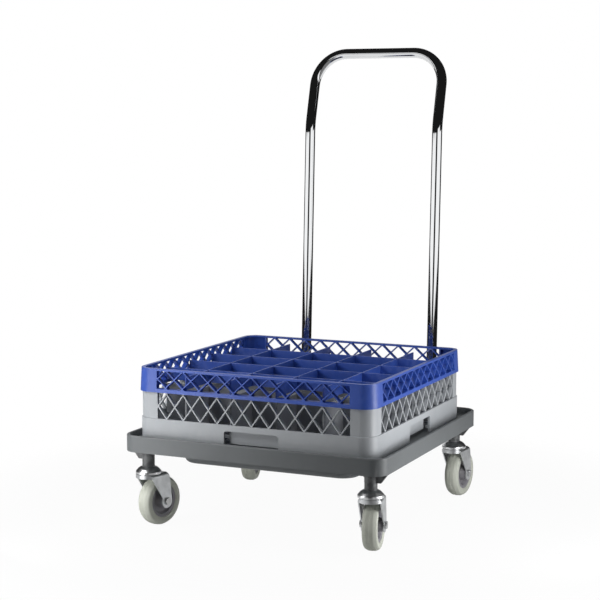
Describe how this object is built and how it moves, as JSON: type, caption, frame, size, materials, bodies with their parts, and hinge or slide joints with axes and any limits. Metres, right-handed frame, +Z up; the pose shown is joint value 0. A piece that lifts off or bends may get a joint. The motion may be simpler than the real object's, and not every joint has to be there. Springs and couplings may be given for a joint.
{
  "type": "rack trolley",
  "caption": "Low moulded tray on swivel casters with an upright chrome push handle, carrying a lattice-walled dishwasher rack with a compartment extender.",
  "frame": {"origin": "on the floor, under the middle of the whole trolley's plan box", "axes": "+Z up, +Y towards the push handle at the back, +X to the right seen from the front"},
  "size_m": [0.555, 0.6885, 0.9645],
  "materials": {
    "tray_plastic": "moulded, fine grain",
    "rack_grey": "moulded, satin",
    "rack_blue": "moulded, satin",
    "wheel_plastic": "moulded",
    "plug_plastic": "moulded",
    "handle_chrome": "polished plate",
    "caster_chrome": "bright plate",
    "fastener_steel": "zinc plate",
    "tyre_grey": "smooth, non-marking"
  },
  "bodies": {
    "base": {"tray": "tray_plastic", "tray_well": "tray_plastic", "tray_necks": "tray_plastic", "handle_tube": "handle_chrome", "handle_end_plugs": "plug_plastic", "handle_bolts": "fastener_steel", "handle_washers": "fastener_steel", "handle_nuts": "fastener_steel", "stem_fl": "fastener_steel", "swivel_cap_fl": "caster_chrome", "stem_fr": "fastener_steel", "swivel_cap_fr": "caster_chrome", "stem_rl": "fastener_steel", "swivel_cap_rl": "caster_chrome", "stem_rr": "fastener_steel", "swivel_cap_rr": "caster_chrome"},
    "caster_fl": {"fork_fl": "caster_chrome", "swivel_bearing_fl": "fastener_steel", "axle_bolt_fl": "fastener_steel", "axle_nut_fl": "fastener_steel", "axle_bush_fl": "fastener_steel"},
    "wheel_fl": {"wheel_centre_fl": "wheel_plastic", "tyre_fl": "tyre_grey"},
    "caster_fr": {"fork_fr": "caster_chrome", "swivel_bearing_fr": "fastener_steel", "axle_bolt_fr": "fastener_steel", "axle_nut_fr": "fastener_steel", "axle_bush_fr": "fastener_steel"},
    "wheel_fr": {"wheel_centre_fr": "wheel_plastic", "tyre_fr": "tyre_grey"},
    "caster_rl": {"fork_rl": "caster_chrome", "swivel_bearing_rl": "fastener_steel", "axle_bolt_rl": "fastener_steel", "axle_nut_rl": "fastener_steel", "axle_bush_rl": "fastener_steel"},
    "wheel_rl": {"wheel_centre_rl": "wheel_plastic", "tyre_rl": "tyre_grey"},
    "caster_rr": {"fork_rr": "caster_chrome", "swivel_bearing_rr": "fastener_steel", "axle_bolt_rr": "fastener_steel", "axle_nut_rr": "fastener_steel", "axle_bush_rr": "fastener_steel"},
    "wheel_rr": {"wheel_centre_rr": "wheel_plastic", "tyre_rr": "tyre_grey"},
    "rack": {"rack_base": "rack_grey", "base_dividers_across": "rack_grey", "base_dividers_along": "rack_grey", "rack_extender": "rack_blue", "dividers_across": "rack_blue", "dividers_along": "rack_blue"}
  },
  "joints": [
    {"name": "swivel_fl", "type": "hinge", "parent": "base", "child": "caster_fl", "pos_m": [-0.2383, -0.30505, 0.1095], "axis": [0, 0, 1], "continuous": true},
    {"name": "roll_fl", "type": "hinge", "parent": "caster_fl", "child": "wheel_fl", "pos_m": [-0.23116, -0.27643, 0.05], "axis": [-0.9703, 0.2419, 0], "continuous": true},
    {"name": "swivel_fr", "type": "hinge", "parent": "base", "child": "caster_fr", "pos_m": [0.2383, -0.30505, 0.1095], "axis": [0, 0, 1], "continuous": true},
    {"name": "roll_fr", "type": "hinge", "parent": "caster_fr", "child": "wheel_fr", "pos_m": [0.23267, -0.27609, 0.05], "axis": [-0.9816, -0.1908, 0], "continuous": true},
    {"name": "swivel_rl", "type": "hinge", "parent": "base", "child": "caster_rl", "pos_m": [-0.2383, 0.17155, 0.1095], "axis": [0, 0, 1], "continuous": true},
    {"name": "roll_rl", "type": "hinge", "parent": "caster_rl", "child": "wheel_rl", "pos_m": [-0.23141, 0.14286, 0.05], "axis": [0.9724, 0.2334, 0], "continuous": true},
    {"name": "swivel_rr", "type": "hinge", "parent": "base", "child": "caster_rr", "pos_m": [0.2383, 0.17155, 0.1095], "axis": [0, 0, 1], "continuous": true},
    {"name": "roll_rr", "type": "hinge", "parent": "caster_rr", "child": "wheel_rr", "pos_m": [0.24061, 0.20096, 0.05], "axis": [-0.9969, 0.0785, 0], "continuous": true},
    {"name": "rack_lift", "type": "slide", "parent": "base", "child": "rack", "axis": [0, 0, 1], "range_m": [0, 0.3]}
  ]
}
